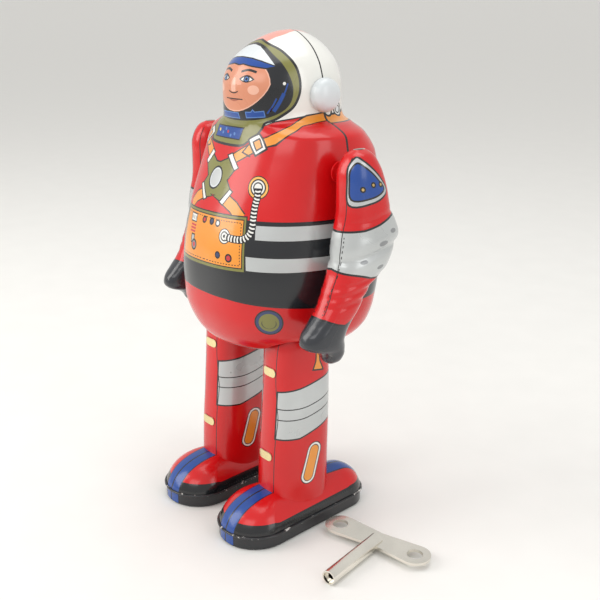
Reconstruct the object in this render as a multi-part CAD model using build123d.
from build123d import *
import math
import os

# Tin wind-up astronaut robot with a clockwork walking motor and a loose winding key.
# Millimetres, +Z up. The robot faces -Y and its own left side is +X.
# The origin is on the floor, midway between the two feet.

# --- Driving dimensions -------------------------------------------------------------

BODY_TIN = 0.6          # sheet of the body shells
TIN = 0.45              # sheet of the limbs and feet
PLATE = 0.8             # sheet of the motor plates and levers
RUN = 0.05              # radial clearance of a running fit
SEAM_Y = 15.6           # plane where the front and back shells meet
SEAM_OVERRUN = 1.0      # how far a cavity is cut past the seam plane
STEEPEST = 3.0          # most that a sloping wall is thickened across
SMALLEST_HALF = 0.5     # half widths below this get no cavity
CURVE_STEPS = 16        # spans in the curve of a body or leg section
FACET_STEPS = 12        # flats round an arm section

LEG_X = 21.1            # middle of each leg and foot
ARM_X = 48.4            # plane where an arm's two halves meet
HIP_Y, HIP_Z = 2.6, 90.0
SHOULDER_Y, SHOULDER_Z = 10.1, 150.0
LEG_SWING = 8.0         # degrees each way

# Body and helmet stations: height, half width, front depth, back depth, roundness.
BODY = [
    (77.0, 25.0, 31.5, 18.0, 2.2),
    (80.0, 31.0, 37.0, 22.2, 2.2),
    (86.0, 36.0, 41.0, 26.6, 2.3),
    (95.0, 38.5, 43.5, 28.5, 2.4),
    (106.0, 39.0, 44.0, 31.0, 2.4),
    (118.0, 38.5, 43.0, 32.0, 2.4),
    (132.0, 37.5, 39.5, 32.0, 2.4),
    (146.0, 36.5, 34.0, 31.0, 2.4),
    (154.0, 35.7, 30.7, 29.5, 2.4),
    (158.5, 34.9, 29.0, 26.5, 2.4),
    (162.0, 34.0, 27.5, 23.0, 2.4),
    (165.5, 28.0, 27.0, 20.0, 2.3),
    (167.5, 22.5, 27.5, 19.5, 2.2),
    (170.1, 21.1, 28.2, 19.5, 2.1),
    (180.0, 20.8, 28.5, 19.5, 2.1),
    (187.0, 19.0, 26.0, 18.0, 2.1),
    (193.0, 15.0, 20.0, 14.5, 2.0),
    (197.5, 9.0, 12.0, 9.0, 2.0),
    (200.0, 2.5, 3.0, 2.5, 2.0),
]

# Leg stations: height, front edge, back edge, outward depth, inward depth.
LEG = [
    (12.0, -15.0, 14.5, 11.5, 11.5),
    (30.0, -14.4, 15.0, 11.0, 11.0),
    (50.0, -13.0, 15.6, 10.6, 10.6),
    (70.0, -11.6, 15.4, 10.5, 10.5),
    (79.0, -11.0, 14.6, 10.4, 10.4),
    (86.0, -8.6, 12.6, 9.2, 10.0),
    (97.0, -5.4, 9.6, 7.6, 9.9),
]
LEG_ROUNDNESS = 2.6

# Arm stations: height, front edge, back edge, outward depth. The inner half is flatter.
ARM = [
    (160.2, 7.0, 12.2, 1.5),
    (158.8, 4.4, 14.2, 4.5),
    (156.0, 2.2, 16.4, 6.3),
    (152.0, 0.8, 18.6, 7.4),
    (146.0, 0.7, 20.8, 8.0),
    (138.0, 0.6, 22.9, 8.3),
    (132.0, -0.6, 26.0, 8.8),
    (127.0, -1.5, 27.2, 9.0),
    (121.0, -2.4, 24.2, 8.8),
    (116.0, -3.2, 22.0, 8.5),
    (110.0, -5.6, 14.2, 8.0),
    (104.0, -8.0, 9.8, 7.6),
    (101.0, -9.6, 8.0, 7.4),
    (97.0, -13.2, 5.0, 7.0),
    (93.0, -16.4, 2.8, 6.8),
    (90.0, -17.0, 1.8, 6.6),
    (88.2, -15.6, 2.1, 6.2),
    (86.2, -10.6, 2.2, 5.4),
    (83.6, -7.4, 1.9, 4.6),
    (81.4, -6.2, 0.8, 3.4),
    (80.2, -4.4, -1.2, 1.6),
]
ARM_ROUNDNESS = 2.3
ARM_INNER_SHARE = 0.84

FOOT_LENGTH = 71.0
TOE_RADIUS = 16.0
HEEL_RADIUS = 12.0
SOLE_Z = 0.5
TRAY_TOP = 5.5
# Foot dome stations: height, inset all round, toe pulled back, heel pulled forward.
FOOT = [
    (TRAY_TOP, 0.6, 0.6, 0.6),
    (9.0, 1.2, 1.8, 1.2),
    (12.5, 3.0, 5.0, 3.5),
    (15.5, 6.0, 10.5, 7.5),
    (17.5, 9.5, 17.0, 12.0),
]
ROLLER_RADIUS = 4.0
ROLLER_WIDTH = 3.4
ROLLER_Y = 22.0
ROLLER_PIN = 0.8

EAR_X = 21.1
EAR_Z = 176.7
EAR_RADIUS = 6.5
EAR_RISE = 4.0

MOTOR_X = 7.0           # middle of each motor plate
ARBOR = 1.5             # winding arbor radius
SHAFT = 1.0             # radius of the other arbors
PIVOT = 0.7             # their thinner ends, which turn in the plates
AXLE = 1.5              # hip axle radius
ARM_SHAFT = 1.6
KEY_SQUARE = 2.4        # across the flats of the winding square
WIND_Y, WIND_Z = 22.0, 104.0
CRANK_Y, CRANK_Z = 2.6, 108.0
CRANK_THROW = 2.5
LEVER_TOP_Z = 126.0     # height of the pin that works the arm crank

PRESSURE_ANGLE = math.radians(25.0)
BACKLASH = 0.15
GREAT_TEETH, GREAT_MODULE = 48, 0.6
WHEEL_MODULE = 0.5
SECOND_TEETH = 42
CRANK_TEETH = 36
PINION_TEETH = 12

KEY_X, KEY_Y, KEY_TURN = 61.4, 11.6, 13.5
KEY_Z = 3.0
KEY_RADIUS = 3.0
KEY_BARREL = 33.0
KEY_EYE_OFFSET = 18.0
KEY_EYE_RADIUS = 6.4
KEY_HOLE_RADIUS = 3.2
KEY_SHEET = 1.2


# --- Shape helpers ------------------------------------------------------------------

def polar_radius(angle, half_span, depth, power):
    """Distance from the middle to a superellipse, in the direction of the angle."""
    along = (abs(math.cos(angle)) / half_span) ** power
    away = (abs(math.sin(angle)) / depth) ** power
    return (along + away) ** (-1 / power)


def half_curve(mid, half_span, depth, power, steps=CURVE_STEPS):
    """Points (along, away) of half a superellipse, from +half_span round to -half_span."""
    points = []
    for i in range(steps + 1):
        angle = math.pi * i / steps
        radius = polar_radius(angle, half_span, depth, power)
        points.append((mid + radius * math.cos(angle), radius * max(math.sin(angle), 0.0)))
    return points


def place(along, away, z, span_axis, plane, side):
    """A 3-D point: along runs on span_axis, away leaves the seam plane on the given side."""
    if span_axis == "x":
        return Vector(along, plane + side * away, z)
    return Vector(plane + side * away, along, z)


def arch(station, span_axis, plane, side):
    """The curved edge of half a superellipse, with its two ends on the seam plane."""
    z, mid, half_span, depth, power = station
    curve = [place(a, b, z, span_axis, plane, side) for a, b in half_curve(mid, half_span, depth, power)]
    out = place(0, 1, 0, span_axis, 0, side)
    return Edge.make_spline(curve, tangents=[out, out * -1]), curve[0], curve[-1]


def half_wire(station, span_axis, plane, side, overrun=0.0):
    """Closed wire of half a superellipse against its seam plane, or past it by overrun."""
    curve, first, last = arch(station, span_axis, plane, side)
    if overrun == 0.0:
        return Wire([curve, Edge.make_line(last, first)])
    past = place(0, overrun, 0, span_axis, 0, side)
    low = last - past
    high = first - past
    return Wire([curve, Edge.make_line(last, low), Edge.make_line(low, high), Edge.make_line(high, first)])


def sheet_wire(station, inset, span_axis, plane, side):
    """Closed U-shaped wire: the section of a half shell whose wall is inset thick."""
    z, mid, half_span, depth, power = station
    outside, first, last = arch(station, span_axis, plane, side)
    inner = (z, mid, half_span - inset, depth - inset, power)
    inside, inner_first, inner_last = arch(inner, span_axis, plane, side)
    return Wire([outside, Edge.make_line(last, inner_last), inside, Edge.make_line(inner_first, first)])


def steepness(station, neighbour):
    """Length of a surface line between two stations over its height."""
    rise = abs(neighbour[0] - station[0])
    edges = [(s[1] + s[2], s[1] - s[2], s[3]) for s in (station, neighbour)]
    change = max(abs(a - b) for a, b in zip(*edges))
    return math.hypot(rise, change) / rise


def insets(stations, thickness):
    """How far the inside is set in at each station: more where the wall slopes more."""
    last = len(stations) - 1
    steep = [max(steepness(stations[i], stations[j]) for j in (i - 1, i + 1) if 0 <= j <= last)
             for i in range(last + 1)]
    return [thickness * min(slope, STEEPEST) for slope in steep]


def inset_stations(stations, thickness):
    """The same stations for the inside of a closed half shell."""
    inner = []
    last = len(stations) - 1
    for i, (station, inset) in enumerate(zip(stations, insets(stations, thickness))):
        z, mid, half_span, depth, power = station
        if min(half_span, depth) < inset + SMALLEST_HALF:
            continue
        if i in (0, last):
            z += math.copysign(thickness, stations[1 if i == 0 else last - 1][0] - z)
        inner.append((z, mid, half_span - inset, depth - inset, power))
    return inner


def half_loft(stations, span_axis, plane, side, overrun=0.0):
    wires = [half_wire(station, span_axis, plane, side, overrun) for station in stations]
    return Solid.make_loft(wires, ruled=True)


def run_past(stations):
    """Stations with one more beyond the first, so that a cavity breaks out there."""
    first = stations[0]
    step = math.copysign(2 * SEAM_OVERRUN, first[0] - stations[1][0])
    return [(first[0] + step,) + first[1:]] + list(stations)


def half_shell(stations, span_axis, plane, side, thickness, open_first=False):
    """Half of a hollow form, open at the seam plane and, if asked, at its first station."""
    outer = half_loft(stations, span_axis, plane, side)
    inner = inset_stations(stations, thickness)
    if open_first:
        inner = run_past(inner)
    return outer - half_loft(inner, span_axis, plane, side, SEAM_OVERRUN)


def crowned_shell(stations, span_axis, plane, side, thickness):
    """Half of a hollow form, open at its first station and with a solid crown at its last."""
    walls = zip(stations[:-1], insets(stations, thickness))
    wires = [sheet_wire(station, inset, span_axis, plane, side) for station, inset in walls]
    return Solid.make_loft(wires, ruled=True) + half_loft(stations[-2:], span_axis, plane, side)


def faceted(station, inset, span_axis, plane, side):
    """Corner points of half a section made of flats, set in by inset."""
    z, mid, half_span, depth, power = station
    outline = half_curve(mid, half_span - inset, depth - inset, power, FACET_STEPS)
    return [place(a, b, z, span_axis, plane, side) for a, b in outline]


def capped_shell(stations, span_axis, plane, side, thickness):
    """Half of a hollow form made of flats, with a solid cap at each end."""
    where = (span_axis, plane, side)
    outside = [faceted(station, 0.0, *where) for station in stations]
    inside = [faceted(station, inset, *where)
              for station, inset in list(zip(stations, insets(stations, thickness)))[1:-1]]
    solid = [Wire.make_polygon(points, close=True) for points in outside]
    walls = [Wire.make_polygon(outer + inner[::-1], close=True) for outer, inner in zip(outside[1:-1], inside)]
    caps = Solid.make_loft(solid[:2], ruled=True) + Solid.make_loft(solid[-2:], ruled=True)
    return Solid.make_loft(walls, ruled=True) + caps


def x_rod(x0, x1, y, z, radius):
    """A round bar along X."""
    return Pos((x0 + x1) / 2, y, z) * Rot(0, 90, 0) * Cylinder(radius, abs(x1 - x0))


def block(x0, x1, y0, y1, z0, z1):
    return Pos((x0 + x1) / 2, (y0 + y1) / 2, (z0 + z1) / 2) * Box(abs(x1 - x0), abs(y1 - y0), abs(z1 - z0))


def x_plate(x0, x1, sketch):
    """Extrude a sketch drawn in (y, z) from x0 to x1."""
    plane = Plane(origin=(min(x0, x1), 0, 0), x_dir=(0, 1, 0), z_dir=(1, 0, 0))
    return extrude(plane * sketch, abs(x1 - x0), dir=(1, 0, 0))


def link_plate(x0, x1, ends):
    """A flat lever: discs of given radii at (y, z) points, joined one to the next."""
    shape = None
    for (y0, z0, r0), (y1, z1, r1) in zip(ends, ends[1:]):
        bar = make_hull((Pos(y0, z0) * Circle(r0)).edges() + (Pos(y1, z1) * Circle(r1)).edges())
        shape = bar if shape is None else shape + bar
    return x_plate(x0, x1, shape)


def save(node, *solids):
    shape = solids[0] if len(solids) == 1 else Compound(children=list(solids))
    export_step(shape, "parts/" + node + ".step")


def only(shape):
    """The single largest solid of a shape."""
    return max(shape.solids(), key=lambda solid: solid.volume)


# --- Gears --------------------------------------------------------------------------

def involute_point(base, radius):
    """Polar angle of the involute of a base circle at a radius."""
    ratio = max(radius / base, 1.0)
    roll = math.sqrt(ratio * ratio - 1)
    return roll - math.atan(roll)


def gear_sketch(teeth, module, phase):
    """Spur gear outline with one tooth centred on the phase angle, in radians."""
    pitch = teeth * module / 2
    base = pitch * math.cos(PRESSURE_ANGLE)
    tip = pitch + 0.8 * module
    root = pitch - 1.05 * module
    start = max(base, root + 0.05)
    half_pitch = (math.pi * module / 2 - BACKLASH) / 2 / pitch + involute_point(base, pitch)
    edges = []
    corners = []
    for k in range(teeth):
        middle = phase + 2 * math.pi * k / teeth
        left, right = [], []
        for i in range(4):
            radius = start + (tip - start) * i / 3
            half = half_pitch - involute_point(base, radius)
            left.append((radius * math.cos(middle - half), radius * math.sin(middle - half)))
            right.append((radius * math.cos(middle + half), radius * math.sin(middle + half)))
        half = half_pitch
        foot_left = (root * math.cos(middle - half), root * math.sin(middle - half))
        foot_right = (root * math.cos(middle + half), root * math.sin(middle + half))
        edges += [Line(foot_left, left[0]), Spline(left), Line(left[-1], right[-1])]
        edges += [Spline(right), Line(right[0], foot_right)]
        corners.append((foot_left, foot_right))
    for k in range(teeth):
        edges.append(Line(corners[k][1], corners[(k + 1) % teeth][0]))
    return make_face(edges)


def gear(x0, x1, y, z, teeth, module, phase, bore):
    return x_plate(x0, x1, Pos(y, z) * (gear_sketch(teeth, module, phase) - Circle(bore)))


def meshed_gears(driver, follower, x_span, teeth, module, bores):
    """Two gears in mesh at rest, a tooth of the first facing a gap of the second."""
    heading = math.atan2(follower[1] - driver[1], follower[0] - driver[0])
    facing = heading + math.pi + math.pi / teeth[1]
    first = gear(*x_span, *driver, teeth[0], module, heading, bores[0])
    wide = (x_span[0] - 0.3, x_span[1] + 0.3)
    second = gear(*wide, *follower, teeth[1], module, facing, bores[1])
    return first, second


def reach(first, first_distance, second, second_distance, side):
    """The point at the given distances from two others, on the chosen side of their line."""
    dy, dz = second[0] - first[0], second[1] - first[1]
    span = math.hypot(dy, dz)
    along = (first_distance ** 2 - second_distance ** 2 + span ** 2) / (2 * span)
    away = side * math.sqrt(first_distance ** 2 - along ** 2)
    return (first[0] + (along * dy - away * dz) / span, first[1] + (along * dz + away * dy) / span)


WIND = (WIND_Y, WIND_Z)
CRANK = (CRANK_Y, CRANK_Z)
GREAT_REACH = (GREAT_TEETH + PINION_TEETH) * GREAT_MODULE / 2
SECOND_REACH = (SECOND_TEETH + PINION_TEETH) * WHEEL_MODULE / 2
ESCAPE_REACH = (CRANK_TEETH + PINION_TEETH) * WHEEL_MODULE / 2
SECOND = reach(WIND, GREAT_REACH, CRANK, SECOND_REACH, -1)
ESCAPE = (CRANK_Y - ESCAPE_REACH * math.cos(0.3), CRANK_Z - ESCAPE_REACH * math.sin(0.3))
VERGE = (ESCAPE[0] - 1.5, ESCAPE[1] - 9.0)


# --- Body shells --------------------------------------------------------------------

def leg_room(side):
    """The space one leg needs inside the body, with clearance over its whole swing."""
    wires = []
    for z, front, back, outward, inward in [(70.0,) + LEG[4][1:]] + LEG[4:] + [(99.0,) + LEG[6][1:]]:
        swing = abs(HIP_Z - z) * math.sin(math.radians(LEG_SWING)) + 1.2
        half = (back - front) / 2 + swing
        middle = (front + back) / 2
        x0 = side * (LEG_X - inward - 0.9)
        x1 = side * (LEG_X + outward + 0.9)
        ring = Pos((x0 + x1) / 2, middle, z) * RectangleRounded(abs(x1 - x0), 2 * half, abs(x1 - x0) / 2.4)
        wires.append(ring.face().outer_wire())
    return Solid.make_loft(wires, ruled=True)


def front_stations():
    return [(z, 0.0, width, depth, power) for z, width, depth, _, power in BODY]


def back_stations():
    return [(z, 0.0, width, depth, power) for z, width, _, depth, power in BODY]


def front_shell():
    shell = crowned_shell(front_stations(), "x", SEAM_Y, -1, BODY_TIN)
    for side in (1, -1):
        shell -= leg_room(side)
        shell -= x_rod(side * 30, side * 42, SHOULDER_Y, SHOULDER_Z, 2.7)
    return only(shell)


def back_shell():
    shell = crowned_shell(back_stations(), "x", SEAM_Y, 1, BODY_TIN)
    for side in (1, -1):
        shell -= leg_room(side)
    shell -= x_rod(-30, -42, WIND_Y, WIND_Z, 3.0)
    return only(shell)


def body_floor():
    """Bottom plate inside the shells' rim, with a slot for each leg."""
    z0 = 80.2
    slab = block(-40, 40, -40, 50, z0, z0 + PLATE)
    front = slab & half_loft(inset_stations(front_stations(), BODY_TIN), "x", SEAM_Y, -1)
    back = slab & half_loft(inset_stations(back_stations(), BODY_TIN), "x", SEAM_Y, 1)
    plate = front + back
    for side in (1, -1):
        plate -= leg_room(side)
    return only(plate)


def ear_cap(side):
    """Domed cap on the side of the helmet, over the seam."""
    rim = 1.0
    ball = (EAR_RADIUS ** 2 + EAR_RISE ** 2) / (2 * EAR_RISE)
    centre = rim + EAR_RISE - ball
    half_angle = math.asin(EAR_RADIUS / ball) / 2
    middle = (centre + ball * math.cos(half_angle), ball * math.sin(half_angle))
    profile = make_face([
        Line((0, 0), (0, EAR_RADIUS)),
        Line((0, EAR_RADIUS), (rim, EAR_RADIUS)),
        ThreePointArc((rim, EAR_RADIUS), middle, (rim + EAR_RISE, 0)),
        Line((rim + EAR_RISE, 0), (0, 0)),
    ])
    cap = revolve(profile, Axis.X)
    if side < 0:
        cap = Rot(0, 0, 180) * cap
    return Pos(side * EAR_X, SEAM_Y, EAR_Z) * cap


# --- Legs and feet ------------------------------------------------------------------

def leg_stations(outer):
    return [(z, (front + back) / 2, (back - front) / 2, outward if outer else inward, LEG_ROUNDNESS)
            for z, front, back, outward, inward in LEG]


def foot_wire(x, z, inset, toe_pull, heel_pull):
    """Foot outline: a wide toe arc and a narrower heel arc joined by their tangents."""
    toe_r = TOE_RADIUS - inset
    heel_r = HEEL_RADIUS - inset
    toe_y = -FOOT_LENGTH / 2 + toe_pull + toe_r
    heel_y = FOOT_LENGTH / 2 - heel_pull - heel_r
    lean = math.asin((toe_r - heel_r) / (heel_y - toe_y))
    c, s = math.cos(lean), math.sin(lean)
    toe_left = (x - toe_r * c, toe_y + toe_r * s, z)
    toe_right = (x + toe_r * c, toe_y + toe_r * s, z)
    heel_left = (x - heel_r * c, heel_y + heel_r * s, z)
    heel_right = (x + heel_r * c, heel_y + heel_r * s, z)
    return Wire([
        Edge.make_three_point_arc(toe_left, (x, toe_y - toe_r, z), toe_right),
        Edge.make_line(toe_right, heel_right),
        Edge.make_three_point_arc(heel_right, (x, heel_y + heel_r, z), heel_left),
        Edge.make_line(heel_left, toe_left),
    ])


def foot_dome(x, shrink, drop):
    """Solid dome of the foot, made smaller all round and lower for its inside."""
    wires = [foot_wire(x, z - drop, inset + shrink, toe + shrink, heel + shrink)
             for z, inset, toe, heel in FOOT]
    return Solid.make_loft(wires, ruled=True)


def foot_prism(x, z0, z1, inset):
    return Solid.extrude(Face(foot_wire(x, z0, inset, inset, inset)), Vector(0, 0, z1 - z0))


def foot_upper(x):
    flange = foot_prism(x, TRAY_TOP, TRAY_TOP + TIN, 0.0)
    cavity = foot_dome(x, TIN, TIN) + foot_prism(x, TRAY_TOP - 1, TRAY_TOP + 1, 0.6 + TIN)
    return only((foot_dome(x, 0, 0) + flange) - cavity)


def foot_sole(x):
    tray = foot_prism(x, SOLE_Z, TRAY_TOP, 0.6) - foot_prism(x, SOLE_Z + TIN, TRAY_TOP + 1, 0.6 + TIN)
    for y in (-ROLLER_Y, ROLLER_Y):
        half = ROLLER_WIDTH / 2 + 0.5
        tray -= block(x - half, x + half, y - ROLLER_RADIUS - 1, y + ROLLER_RADIUS + 1, 0, 1.5)
    return only(tray)


def roller(x, y):
    wheel = x_rod(x - ROLLER_WIDTH / 2, x + ROLLER_WIDTH / 2, y, ROLLER_RADIUS, ROLLER_RADIUS)
    return wheel - x_rod(x - 3, x + 3, y, ROLLER_RADIUS, ROLLER_PIN + RUN)


def roller_bracket(x, y):
    """Bent strip over one roller, with the roller's pin riveted through it."""
    inside = ROLLER_WIDTH / 2 + 0.8
    top = 2 * ROLLER_RADIUS + 0.6
    arch = block(x - inside - 0.6, x + inside + 0.6, y - 2.2, y + 2.2, SOLE_Z + TIN, top + 0.6)
    arch -= block(x - inside, x + inside, y - 3, y + 3, 0, top)
    return arch + x_rod(x - inside - 0.9, x + inside + 0.9, y, ROLLER_RADIUS, ROLLER_PIN)


def leg_half(side, outer):
    direction = side if outer else -side
    shell = half_shell(leg_stations(outer), "y", side * LEG_X, direction, TIN, True)
    shell -= x_rod(side * 5, side * 35, HIP_Y, HIP_Z, AXLE + RUN)
    return only(shell - foot_dome(side * LEG_X, 0, 0))


def leg_lever(side):
    """Lever riveted to the leg's inner face: slot for the crank pin, pin for the arm crank."""
    x0, x1 = side * 10.3, side * 11.1
    lever = link_plate(x0, x1, [(HIP_Y, HIP_Z, 3.6), (HIP_Y, CRANK_Z, 3.4), (HIP_Y, LEVER_TOP_Z, 2.2)])
    slot = Pos(HIP_Y, CRANK_Z) * SlotOverall(2 * CRANK_THROW + 2.6, 2.2, rotation=90)
    lever -= x_plate(side * 9, side * 12, slot)
    lever -= x_rod(side * 9, side * 12, HIP_Y, HIP_Z, AXLE + RUN)
    return lever + x_rod(side * 9.5, x1, HIP_Y, LEVER_TOP_Z, 0.8)


# --- Arms ---------------------------------------------------------------------------

def arm_stations(share):
    return [(z, (front + back) / 2, (back - front) / 2, outward * share, ARM_ROUNDNESS)
            for z, front, back, outward in ARM]


def arm_half(side, outer):
    direction = side if outer else -side
    share = 1.0 if outer else ARM_INNER_SHARE
    shell = capped_shell(arm_stations(share), "y", side * ARM_X, direction, TIN)
    if not outer:
        shell -= x_rod(side * 40, side * 46, SHOULDER_Y, SHOULDER_Z, ARM_SHAFT + RUN)
    return only(shell)


def arm_shaft(side):
    """Shoulder shaft with a head inside the arm, running to the motor plate."""
    rod = x_rod(side * (MOTOR_X - PLATE / 2), side * 45.2, SHOULDER_Y, SHOULDER_Z, ARM_SHAFT)
    return rod + x_rod(side * 44.0, side * 45.2, SHOULDER_Y, SHOULDER_Z, 3.5)


def arm_crank(side):
    """Slotted crank fixed on the shoulder shaft, worked by the leg lever's top pin."""
    x0, x1 = side * 8.4, side * 9.2
    crank = link_plate(x0, x1, [(SHOULDER_Y, SHOULDER_Z, 3.4), (HIP_Y, LEVER_TOP_Z, 2.6)])
    slot = Pos(HIP_Y, LEVER_TOP_Z) * SlotOverall(3.6, 1.8, rotation=90)
    crank -= x_plate(side * 8, side * 10, slot)
    return crank - x_rod(side * 8, side * 10, SHOULDER_Y, SHOULDER_Z, ARM_SHAFT)


def shoulder_bush(side):
    """Flanged tube that carries the shoulder shaft in the front shell."""
    bush = x_rod(side * 32.5, side * 40.6, SHOULDER_Y, SHOULDER_Z, 2.6)
    bush += x_rod(side * 37.0, side * 37.8, SHOULDER_Y, SHOULDER_Z, 4.2)
    return bush - x_rod(side * 30, side * 42, SHOULDER_Y, SHOULDER_Z, ARM_SHAFT + RUN)


# --- Clockwork motor ----------------------------------------------------------------

def motor_plate(side):
    """Tall side plate: motor bearings below, shoulder bearing at the top."""
    x0 = side * (MOTOR_X - PLATE / 2)
    x1 = side * (MOTOR_X + PLATE / 2)
    outline = Polyline((-16, 81), (27, 81), (33, 90), (33, 118), (26, 128), (17, 133), (17, 155), (3, 155),
                       (3, 133), (-8, 122), (-16, 116), (-16, 81))
    sketch = make_face(outline)
    for centre, radius in ((WIND, ARBOR), (SECOND, PIVOT), (CRANK, PIVOT + 0.3), (ESCAPE, PIVOT), (VERGE, PIVOT),
                           ((SHOULDER_Y, SHOULDER_Z), ARM_SHAFT), ((HIP_Y, HIP_Z), AXLE)):
        sketch -= Pos(*centre) * Circle(radius + RUN)
    for centre in PILLARS:
        sketch -= Pos(*centre) * Circle(1.0)
    return x_plate(x0, x1, sketch)


PILLARS = ((-13.0, 84.0), (24.0, 84.0), (30.0, 122.0), (-12.0, 112.5))


def motor_pillar(centre):
    """Spacer pillar with a riveted end through each plate."""
    inner = MOTOR_X - PLATE / 2
    outer = MOTOR_X + PLATE / 2 + 0.5
    return x_rod(-inner, inner, *centre, 1.8) + x_rod(-outer, outer, *centre, 1.0)


def hip_axle():
    rod = x_rod(-30.8, 30.8, HIP_Y, HIP_Z, AXLE)
    for side in (1, -1):
        rod += x_rod(side * 30.7, side * 31.7, HIP_Y, HIP_Z, 2.6)
    return rod


def hip_spacer(side):
    tube = x_rod(side * 7.5, side * 10.0, HIP_Y, HIP_Z, 2.6)
    return tube - x_rod(side * 7, side * 11, HIP_Y, HIP_Z, AXLE)


def mainspring():
    """Flat coil spring round the winding arbor, its outer end at a motor pillar's side."""
    turns, inner_r, outer_r, strip = 5.5, 2.3, 9.4, 0.3
    steps = 110
    inside, outside = [], []
    for i in range(steps + 1):
        angle = 2 * math.pi * turns * i / steps
        radius = inner_r + (outer_r - strip - inner_r) * i / steps
        inside.append((radius * math.cos(angle), radius * math.sin(angle)))
        outside.append(((radius + strip) * math.cos(angle), (radius + strip) * math.sin(angle)))
    face = make_face([Spline(inside), Line(inside[-1], outside[-1]), Spline(outside), Line(outside[0], inside[0])])
    return x_plate(-5.8, -0.8, Pos(*WIND) * face)


def winding_arbor():
    """Arbor from plate to plate, ending in the square that the key fits."""
    rod = x_rod(-31.0, MOTOR_X + PLATE / 2 + 0.4, *WIND, ARBOR)
    square = Pos(-34.0, WIND_Y, WIND_Z) * Box(8.0, KEY_SQUARE, KEY_SQUARE)
    return rod + square


def keyhole_eyelet():
    """Rolled ring that lines the keyhole in the back shell."""
    ring = x_rod(-36.0, -40.0, *WIND, 2.95) + x_rod(-39.4, -40.0, *WIND, 4.4)
    return ring - x_rod(-30, -42, *WIND, 2.5)


def ratchet_wheel():
    """Saw-toothed wheel pressed on the arbor."""
    teeth, tip, root = 14, 6.0, 4.9
    points = []
    for k in range(teeth):
        angle = 2 * math.pi * k / teeth
        step = 2 * math.pi / teeth
        points.append((tip * math.cos(angle), tip * math.sin(angle)))
        points.append((root * math.cos(angle + step * 0.12), root * math.sin(angle + step * 0.12)))
    sketch = make_face(Polyline(*points, close=True)) - Circle(ARBOR)
    return x_plate(2.0, 3.0, Pos(*WIND) * sketch)


def spoked(wheel, x0, x1, centre, ring, spokes, window):
    """Round lightening windows through a wheel."""
    for k in range(spokes):
        angle = 2 * math.pi * k / spokes + 0.4
        wheel -= x_rod(x0 - 1, x1 + 1, centre[0] + ring * math.cos(angle), centre[1] + ring * math.sin(angle), window)
    return wheel


def click_pawl():
    """Click on the great wheel, lifted clear of the ratchet."""
    pivot = (WIND_Y + 7.0, WIND_Z - 6.0)
    beak = (WIND_Y + 7.6, WIND_Z + 1.6)
    return link_plate(2.0, 3.0, [(*pivot, 1.4), (*beak, 0.6)]) + x_rod(1.6, 3.0, *pivot, 0.7)


def click_spring():
    """Thin leaf that presses the click."""
    points = [(WIND_Y + 1.0, WIND_Z - 10.4), (WIND_Y + 7.5, WIND_Z - 9.0), (WIND_Y + 9.9, WIND_Z - 3.0),
              (WIND_Y + 9.4, WIND_Z + 0.5)]
    leaf = x_plate(2.1, 2.9, trace(Spline(points), 0.3))
    return leaf + x_rod(1.6, 3.0, *points[0], 0.9)


def escape_wheel():
    """Star wheel of the escapement."""
    teeth, tip, root = 10, 4.6, 2.9
    points = []
    for k in range(teeth):
        angle = 2 * math.pi * k / teeth
        step = 2 * math.pi / teeth
        points.append((tip * math.cos(angle), tip * math.sin(angle)))
        points.append((root * math.cos(angle + step * 0.35), root * math.sin(angle + step * 0.35)))
    sketch = make_face(Polyline(*points, close=True)) - Circle(SHAFT)
    return x_plate(0.0, 0.8, Pos(*ESCAPE) * sketch)


def verge_lever():
    """Rocking anchor below the star wheel, with its own pivot rod."""
    y, z = VERGE
    lever = link_plate(0.0, 0.8, [(y, z, 1.6), (y - 4.8, z + 5.0, 0.7), (y - 4.6, z + 8.6, 0.5)])
    lever += link_plate(0.0, 0.8, [(y, z, 1.6), (y + 7.4, z + 3.6, 0.7), (y + 7.4, z + 6.6, 0.5)])
    return lever + arbor(VERGE, SHAFT, -5.8, 5.8)


def arbor(centre, radius, x0, x1, pivot=PIVOT):
    """A shaft between the plates with a thinner pivot through each."""
    end = MOTOR_X + PLATE / 2 + 0.3
    return x_rod(x0, x1, *centre, radius) + x_rod(-end, end, *centre, pivot)


def crank_disc(side):
    """Disc on the crank shaft's end. The two pins stand opposite each other."""
    x0, x1 = side * 8.3, side * 9.1
    pin_z = CRANK_Z + side * CRANK_THROW
    disc = x_rod(x0, x1, *CRANK, 4.4) - x_rod(side * 8, side * 9.5, *CRANK, PIVOT + 0.3)
    return disc + x_rod(x1, side * 10.0, CRANK_Y, pin_z, 0.8)


# --- Key ----------------------------------------------------------------------------

def key_place():
    return Pos(KEY_X, KEY_Y, KEY_Z) * Rot(0, 0, KEY_TURN)


def key_wings():
    """Flat two-eyed grip with a finger hole in each lobe."""
    middle = (Circle(4.6)).edges()
    sketch = None
    for side in (1, -1):
        eye = (Pos(side * KEY_EYE_OFFSET, 0) * Circle(KEY_EYE_RADIUS)).edges()
        lobe = make_hull(middle + eye)
        sketch = lobe if sketch is None else sketch + lobe
    for side in (1, -1):
        sketch -= Pos(side * KEY_EYE_OFFSET, 0) * Circle(KEY_HOLE_RADIUS)
    wings = extrude(Pos(0, 0, -KEY_SHEET / 2) * sketch, KEY_SHEET)
    wings -= Rot(90, 0, 0) * Pos(0, 0, 10) * Cylinder(KEY_RADIUS, 20)
    return key_place() * wings


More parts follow.
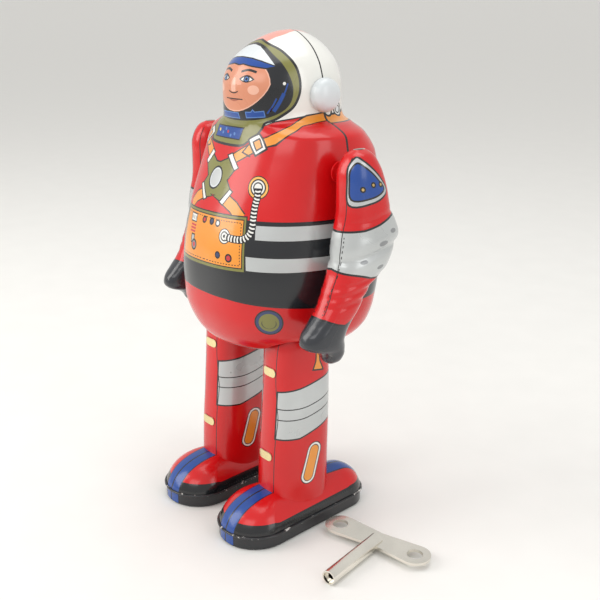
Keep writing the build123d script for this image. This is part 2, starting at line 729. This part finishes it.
def key_barrel():
    """Rolled tube with a square socket at its mouth."""
    tube = Rot(90, 0, 0) * Pos(0, 0, KEY_BARREL / 2) * Cylinder(KEY_RADIUS, KEY_BARREL)
    socket = Pos(0, -KEY_BARREL + 6, 0) * Box(KEY_SQUARE + 0.2, 12.2, KEY_SQUARE + 0.2)
    mouth = Rot(90, 0, 0) * Pos(0, 0, KEY_BARREL - 0.9) * Cylinder(KEY_RADIUS - 0.6, 1.9)
    return key_place() * (tube - socket - mouth)


# --- Build every node ---------------------------------------------------------------

os.makedirs("parts", exist_ok=True)

save("front_shell", front_shell())
save("back_shell", back_shell())
save("body_floor", body_floor())

great, second_pinion = meshed_gears(WIND, SECOND, (0.0, 1.4), (GREAT_TEETH, PINION_TEETH), GREAT_MODULE,
                                    (ARBOR + RUN, SHAFT))
second_wheel, crank_pinion = meshed_gears(SECOND, CRANK, (3.9, 4.9), (SECOND_TEETH, PINION_TEETH), WHEEL_MODULE,
                                          (SHAFT, SHAFT))
crank_wheel, escape_pinion = meshed_gears(CRANK, ESCAPE, (-3.0, -2.0), (CRANK_TEETH, PINION_TEETH), WHEEL_MODULE,
                                          (SHAFT, SHAFT))

save("mainspring", mainspring())
save("winding_arbor", winding_arbor())
save("ratchet_wheel", ratchet_wheel())
save("keyhole_eyelet", keyhole_eyelet())
save("great_wheel", spoked(great, 0.0, 1.4, WIND, 9.6, 5, 2.6))
save("click_pawl", click_pawl())
save("click_spring", click_spring())
save("second_arbor", arbor(SECOND, SHAFT, -5.8, 5.8))
save("second_pinion", second_pinion)
save("second_wheel", spoked(second_wheel, 3.9, 4.9, SECOND, 6.0, 5, 2.2))
save("crank_shaft", arbor(CRANK, SHAFT, -5.8, 5.8, PIVOT + 0.3) + x_rod(-9.1, 9.1, *CRANK, PIVOT + 0.3))
save("crank_pinion", crank_pinion)
save("crank_wheel", spoked(crank_wheel, -3.0, -2.0, CRANK, 5.2, 5, 1.9))
save("escape_arbor", arbor(ESCAPE, SHAFT, -5.8, 5.8))
save("escape_pinion", escape_pinion)
save("escape_wheel", escape_wheel())
save("verge_lever", verge_lever())
save("motor_pillars", *[motor_pillar(centre) for centre in PILLARS])
save("hip_axle", hip_axle())
save("hip_spacers", hip_spacer(1), hip_spacer(-1))

for name, side in (("left", 1), ("right", -1)):
    x = side * LEG_X
    save("ear_cap_" + name, ear_cap(side))
    save("motor_plate_" + name, motor_plate(side))
    save("crank_disc_" + name, crank_disc(side))
    save("shoulder_bush_" + name, shoulder_bush(side))
    save("arm_outer_" + name, arm_half(side, True))
    save("arm_inner_" + name, arm_half(side, False))
    save("arm_shaft_" + name, arm_shaft(side))
    save("arm_crank_" + name, arm_crank(side))
    save("leg_outer_" + name, leg_half(side, True))
    save("leg_inner_" + name, leg_half(side, False))
    save("leg_lever_" + name, leg_lever(side))
    save("foot_upper_" + name, foot_upper(x))
    save("foot_sole_" + name, foot_sole(x))
    save("roller_brackets_" + name, roller_bracket(x, -ROLLER_Y), roller_bracket(x, ROLLER_Y))
    save("front_roller_" + name, roller(x, -ROLLER_Y))
    save("rear_roller_" + name, roller(x, ROLLER_Y))

save("key_wings", key_wings())
save("key_barrel", key_barrel())
